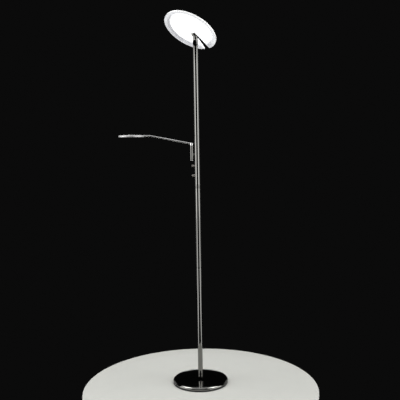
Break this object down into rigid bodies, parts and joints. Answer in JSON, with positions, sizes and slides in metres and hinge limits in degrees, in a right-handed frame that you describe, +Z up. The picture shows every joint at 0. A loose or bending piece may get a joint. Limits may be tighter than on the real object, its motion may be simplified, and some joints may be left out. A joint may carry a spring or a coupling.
{
  "type": "torchiere floor lamp with reading light",
  "caption": "Tall round-foot floor lamp with a flat tilting uplight head on a slotted joint and a small disc reading light on a side arm.",
  "frame": {"origin": "centre of the foot pad's underside, on the floor", "axes": "+Z up along the pole; the reading arm points to -X; the cord gland is at +Y, away from the viewer of the picture"},
  "size_m": [0.5345, 0.2964, 1.8708],
  "materials": {
    "chrome": "polished plating",
    "dark_chrome": "polished plating on the foot",
    "steel": "zinc plated",
    "iron": "rough casting",
    "aluminium": "plain sheet",
    "white_enamel": "white gloss",
    "opal_cool": "opal, lit",
    "opal_warm": "opal, lit",
    "nylon": "natural",
    "black_plastic": "fine grain",
    "board_white": "solder mask",
    "rubber": "matt",
    "cable_sheath": "soft"
  },
  "bodies": {
    "stand": {"base_pad": "rubber", "base_plate": "steel", "base_weight": "iron", "base_cover": "dark_chrome", "base_screws": "steel", "led_driver": "black_plastic", "cord_gland": "rubber", "pole_stud": "steel", "stud_washer": "steel", "stud_nut": "steel", "foot_plug": "steel", "lower_tube": "chrome", "middle_tube": "chrome", "pole_couplers": "steel", "upper_tube": "chrome", "swivel_washer": "nylon", "swivel_grub": "steel", "pole_cable": "cable_sheath", "upper_dimmer": "black_plastic", "upper_washer": "chrome", "upper_nut": "steel", "lower_dimmer": "black_plastic", "lower_washer": "chrome", "lower_nut": "steel", "arm_sleeve": "chrome", "sleeve_plug": "chrome", "sleeve_bushes": "nylon", "arm_bracket": "chrome", "bracket_screw": "steel"},
    "upper_control": {"upper_knob": "chrome", "upper_shaft": "steel"},
    "lower_control": {"lower_knob": "chrome", "lower_shaft": "steel"},
    "arm": {"arm_hub": "chrome", "arm_spindle": "steel", "spindle_nut": "steel", "arm_rod": "chrome", "neck_pin": "steel", "neck_nut": "steel"},
    "reading_head": {"reading_pan": "chrome", "reading_cap": "chrome", "reading_board": "board_white", "reading_diffuser": "opal_warm", "reading_posts": "nylon", "neck_boss": "chrome"},
    "swivel": {"pole_eye": "chrome"},
    "head": {"head_pan": "white_enamel", "slot_lining": "white_enamel", "reflector_ring": "white_enamel", "head_diffuser": "opal_cool", "diffuser_seat": "nylon", "led_board": "board_white", "heat_plate": "aluminium", "board_pillars": "steel", "board_screws": "steel", "left_cheek": "steel", "right_cheek": "steel", "pivot_pin": "steel", "friction_discs": "nylon", "pivot_nuts": "steel"}
  },
  "joints": [
    {"name": "head_swivel", "type": "hinge", "parent": "stand", "child": "swivel", "pos_m": [0, 0, 1.745], "axis": [0, 0, 1], "range_deg": [-175, 175]},
    {"name": "head_tilt", "type": "hinge", "parent": "swivel", "child": "head", "pos_m": [0, 0, 1.7766], "axis": [0.6826, -0.7308, 0], "range_deg": [-145.7, 34.3]},
    {"name": "arm_turn", "type": "hinge", "parent": "stand", "child": "arm", "pos_m": [-0.027, 0, 1.23], "axis": [0, 0, 1], "range_deg": [-135, 135]},
    {"name": "reading_turn", "type": "hinge", "parent": "arm", "child": "reading_head", "pos_m": [-0.265, 0, 1.277], "axis": [1, 0, 0], "range_deg": [-90, 90]},
    {"name": "upper_turn", "type": "hinge", "parent": "stand", "child": "upper_control", "pos_m": [-0.021, 0, 1.1235], "axis": [1, 0, 0], "range_deg": [-300, 0]},
    {"name": "lower_turn", "type": "hinge", "parent": "stand", "child": "lower_control", "pos_m": [-0.021, 0, 1.0745], "axis": [1, 0, 0], "range_deg": [-300, 0]}
  ]
}
